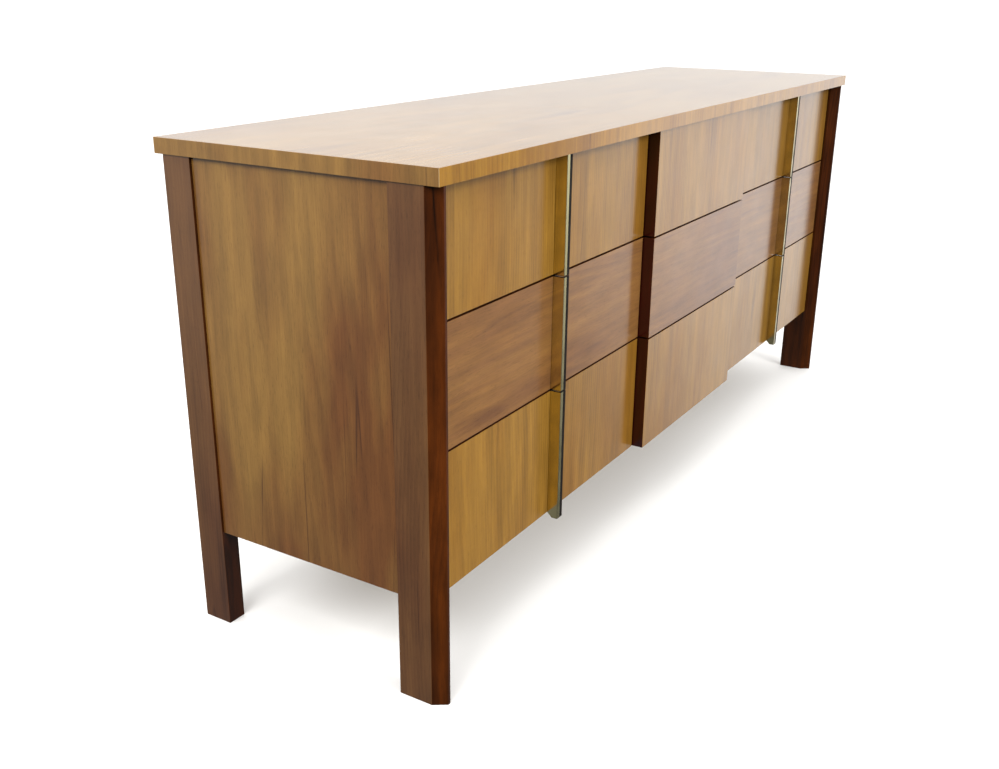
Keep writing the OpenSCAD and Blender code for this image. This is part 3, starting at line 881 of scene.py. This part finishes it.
class CHEST_OT_stage(bpy.types.Operator):
    """Make the floor, the lights and the camera"""

    bl_idname = "chest.stage"
    bl_label = "Stage"
    bl_options = {"REGISTER", "UNDO"}

    def execute(self, context):
        self.floor()
        self.sky()
        self.lamp("front light", place=(-0.9, -4.6, 2.6), aim=(0.1, 0.0, 0.4), width=2.0,
                  power=178.0)
        self.lamp("end light", place=(-3.3, -0.2, 2.9), aim=(-0.9, 0.0, 0.35), width=1.8,
                  power=98.0)
        self.camera()
        bpy.context.scene.view_settings.view_transform = "Standard"
        return {"FINISHED"}

    def floor(self):
        """Matt painted floor, faintly cloudy, so wide that its far edge isn't seen.

        It neither bounces light nor is mirrored, because the sky lights the chest from below too.
        """
        deselect()
        bpy.ops.mesh.primitive_plane_add(size=300.0, location=(0, 0, 0))
        floor = bpy.context.object
        floor.name = "floor"
        with editing(floor):
            bpy.ops.mesh.subdivide(number_cuts=3)
        material, tree, shader = new_material("painted floor")
        place = add(tree, "ShaderNodeTexCoord").outputs["Object"]
        cloud = add(tree, "ShaderNodeTexNoise", place, sockets={"Scale": 0.6, "Detail": 2.0})
        tint = bpy.context.scene.chest_colours.floor[:]
        tone = add(tree, "ShaderNodeMix", cloud, sockets={6: tint, 7: darkened(tint, 0.97)},
                   data_type="RGBA").outputs[2]
        tree.links.new(tone, shader.inputs["Base Color"])
        shader.inputs["Roughness"].default_value = 0.8
        floor.data.materials.append(material)
        floor.visible_diffuse = floor.visible_glossy = False

    def sky(self):
        """Soft light all round, bright beyond the right end and dim off the left front corner.

        The camera sees a plain white backdrop in its place.
        """
        world = bpy.data.worlds.new("studio")
        bpy.context.scene.world = world
        world.use_nodes = True
        tree = world.node_tree
        tree.nodes.clear()
        way = add(tree, "ShaderNodeTexCoord").outputs["Generated"]
        bright_side = (0.85, 0.52, 0.0)
        turn = add(tree, "ShaderNodeVectorMath", way, bright_side, operation="DOT_PRODUCT")
        place = add(tree, "ShaderNodeMapRange", turn.outputs["Value"], -1.0, 1.0, 0.0, 1.0)
        ramp = add(tree, "ShaderNodeValToRGB", place)
        # Level of the light from the dim side, at 0, round to the bright side, at 1
        stops = ((0.0, 0.03), (0.15, 0.05), (0.36, 0.33), (0.44, 0.36), (0.6, 0.15), (0.74, 0.1),
                 (0.766, 0.68), (0.785, 1.0), (0.8, 0.8), (0.84, 0.8), (0.9, 0.62), (1.0, 0.48))
        while len(ramp.color_ramp.elements) < len(stops):
            ramp.color_ramp.elements.new(0.5)
        for stop, (spot, level) in zip(ramp.color_ramp.elements, stops):
            stop.position = spot
            stop.color = (level, level, level, 1)
        # Less of it comes from below, and some more from above
        height = add(tree, "ShaderNodeSeparateXYZ", way).outputs[2]
        lower = add(tree, "ShaderNodeMapRange", height, -0.45, -0.12, 0.4, 1.0,
                    interpolation_type="SMOOTHSTEP")
        upper = add(tree, "ShaderNodeMapRange", height, 0.2, 0.8, 0.0, 0.6)
        level = add(tree, "ShaderNodeMath", ramp, lower, upper, operation="MULTIPLY_ADD")
        level = add(tree, "ShaderNodeMath", level, 2.0, operation="MULTIPLY")
        light = add(tree, "ShaderNodeBackground", WHITE, level)
        backdrop = add(tree, "ShaderNodeBackground", WHITE, 1.0)
        seen = add(tree, "ShaderNodeLightPath").outputs["Is Camera Ray"]
        shown = add(tree, "ShaderNodeMixShader", seen, light, backdrop)
        add(tree, "ShaderNodeOutputWorld", shown)

    def lamp(self, name, place, aim, width, power):
        """Square soft light that faces its aim and isn't mirrored in the lacquer."""
        turn = (Vector(aim) - Vector(place)).to_track_quat("-Z", "Y").to_euler()
        bpy.ops.object.light_add(type="AREA", location=place, rotation=turn)
        lamp = bpy.context.object
        lamp.name = name
        lamp.data.size = width
        lamp.data.energy = power
        lamp.visible_glossy = False

    def camera(self):
        """Standing off the left front corner, a little above the top."""
        yaw, pitch, roll = (math.radians(a) for a in (58.42, -20.24, 0.52))
        bpy.ops.object.camera_add(location=(-1.947, -0.981, 0.973))
        camera = bpy.context.object
        turn = (Matrix.Rotation(-yaw, 4, "Z") @ Matrix.Rotation(math.pi / 2 + pitch, 4, "X")
                @ Matrix.Rotation(roll, 4, "Z"))
        camera.rotation_euler = turn.to_euler()
        camera.data.sensor_width = 36.0
        camera.data.lens = 39.0
        bpy.context.scene.camera = camera


# ---------------------------------------------------------------- panel and run


OPERATORS = (CHEST_OT_top, CHEST_OT_legs, CHEST_OT_end_panels, CHEST_OT_inside, CHEST_OT_back,
             CHEST_OT_fronts, CHEST_OT_pulls, CHEST_OT_stage)


class CHEST_PT_panel(bpy.types.Panel):
    """Lists the steps that make the chest."""

    bl_label = "Walnut Chest"
    bl_space_type = "VIEW_3D"
    bl_region_type = "UI"
    bl_category = "Walnut Chest"

    def draw(self, context):
        column = self.layout.column()
        for operator in OPERATORS:
            column.operator(operator.bl_idname)


CLASSES = (ChestSizes, ChestColours, *OPERATORS, CHEST_PT_panel)


def register():
    for cls in CLASSES:
        bpy.utils.register_class(cls)
    bpy.types.Scene.chest_sizes = bpy.props.PointerProperty(type=ChestSizes)
    bpy.types.Scene.chest_colours = bpy.props.PointerProperty(type=ChestColours)


def unregister():
    del bpy.types.Scene.chest_colours
    del bpy.types.Scene.chest_sizes
    for cls in reversed(CLASSES):
        bpy.utils.unregister_class(cls)


def main():
    register()
    for operator in OPERATORS:
        group, name = operator.bl_idname.split(".")
        getattr(getattr(bpy.ops, group), name)()


if __name__ == "__main__":
    main()
